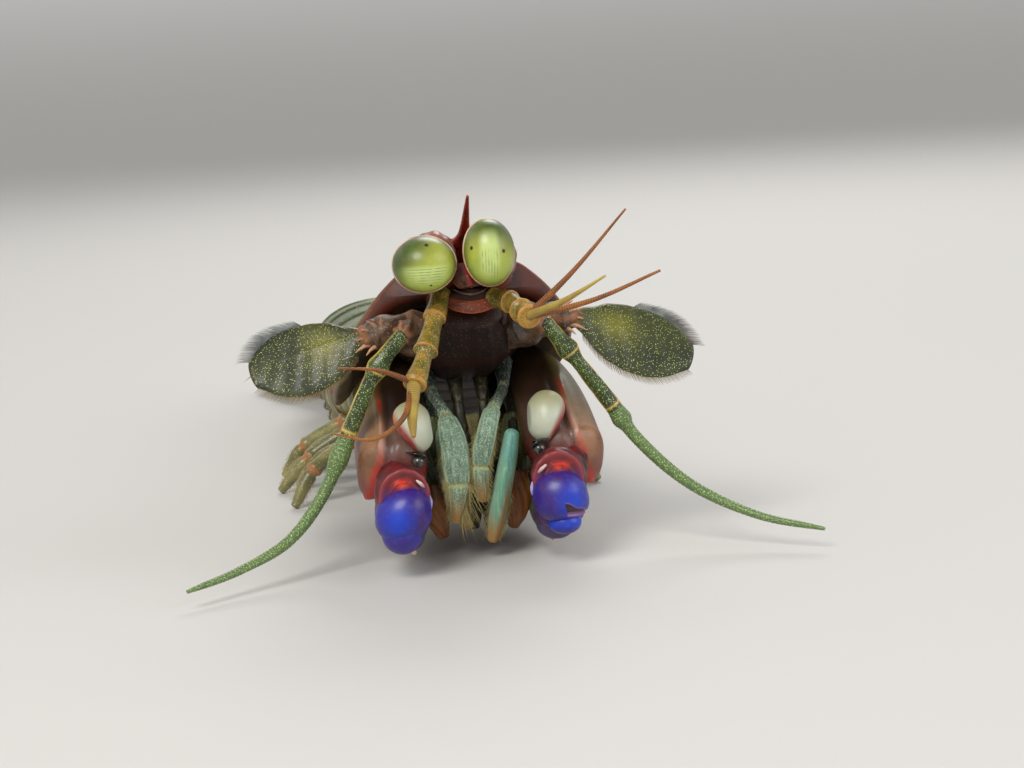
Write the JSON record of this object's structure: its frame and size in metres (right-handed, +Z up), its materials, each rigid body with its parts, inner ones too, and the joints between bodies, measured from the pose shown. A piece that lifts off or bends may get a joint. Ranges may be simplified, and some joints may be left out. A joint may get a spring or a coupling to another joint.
{
  "type": "mantis shrimp",
  "caption": "Life-size still model of a reef mantis shrimp standing on its legs and tail, with folded striking claws, raised stalked eyes, spread antennae and a tail fan",
  "frame": {"origin": "On the floor the animal stands on, under the middle of its bounding box", "axes": "+Z is up. The body lies along Y: the head looks along -Y and the tail is at +Y. The animal's own left side is +X."},
  "size_m": [0.0432, 0.0988, 0.0255],
  "materials": {
    "cornea": "Smooth glossy lime green with a band of fine dark rows",
    "eyestalk": "Translucent brown-orange shell",
    "carapace": "Olive brown shell with reddish edges",
    "rostrum": "Translucent red shell",
    "head": "Red brown shell, orange-red front edge",
    "underside": "Brown shell plates",
    "somites": "Olive green shell with reddish rear rims",
    "telson": "Green shell, swollen keels",
    "uropod": "Blue-green blades with yellow and red edges",
    "claw_blue": "Glossy violet to cobalt blue",
    "claw_merus": "Pale peach with red edge lines and a white lobe",
    "claw_hand": "Olive hand, red-brown heel",
    "antenna": "Green with dense yellow-green specks",
    "scale": "Dark olive with fine cream specks and a hair fringe",
    "antennule": "Translucent amber with orange rims",
    "maxilliped": "Translucent teal with pale specks",
    "walking_leg": "Pale olive, orange joints",
    "pleopod": "Pale translucent blades with hair fringes"
  },
  "bodies": {
    "root": {"cornea_left": "cornea", "cornea_right": "cornea", "eyestalk_left": "eyestalk", "eyestalk_right": "eyestalk", "carapace": "carapace", "rostral_plate": "rostrum", "head": "head", "thorax_core": "underside", "thoracic_somite_6": "somites", "thoracic_somite_7": "somites", "thoracic_somite_8": "somites", "abdominal_somite_1": "somites", "abdominal_somite_2": "somites", "abdominal_somite_3": "somites", "abdominal_somite_4": "somites", "abdominal_somite_5": "somites", "abdominal_somite_6": "somites", "telson": "telson", "uropod_left": "uropod", "uropod_right": "uropod", "raptorial_carpus_left": "claw_blue", "raptorial_carpus_right": "claw_blue", "raptorial_merus_left": "claw_merus", "raptorial_merus_right": "claw_merus", "raptorial_propodus_left": "claw_hand", "raptorial_propodus_right": "claw_hand", "raptorial_dactyl_left": "claw_hand", "raptorial_dactyl_right": "claw_hand", "antenna_left": "antenna", "antenna_right": "antenna", "antennal_scale_left": "scale", "antennal_scale_right": "scale", "antennule_left": "antennule", "antennule_right": "antennule", "maxilliped_1_left": "maxilliped", "maxilliped_1_right": "maxilliped", "maxilliped_3_left": "maxilliped", "maxilliped_3_right": "maxilliped", "maxilliped_4_left": "maxilliped", "maxilliped_4_right": "maxilliped", "maxilliped_5_left": "maxilliped", "maxilliped_5_right": "maxilliped", "walking_leg_1_left": "walking_leg", "walking_leg_1_right": "walking_leg", "walking_leg_2_left": "walking_leg", "walking_leg_2_right": "walking_leg", "walking_leg_3_left": "walking_leg", "walking_leg_3_right": "walking_leg", "pleopod_1_left": "pleopod", "pleopod_1_right": "pleopod", "pleopod_2_left": "pleopod", "pleopod_2_right": "pleopod", "pleopod_3_left": "pleopod", "pleopod_3_right": "pleopod", "pleopod_4_left": "pleopod", "pleopod_4_right": "pleopod", "pleopod_5_left": "pleopod", "pleopod_5_right": "pleopod"}
  },
  "joints": []
}
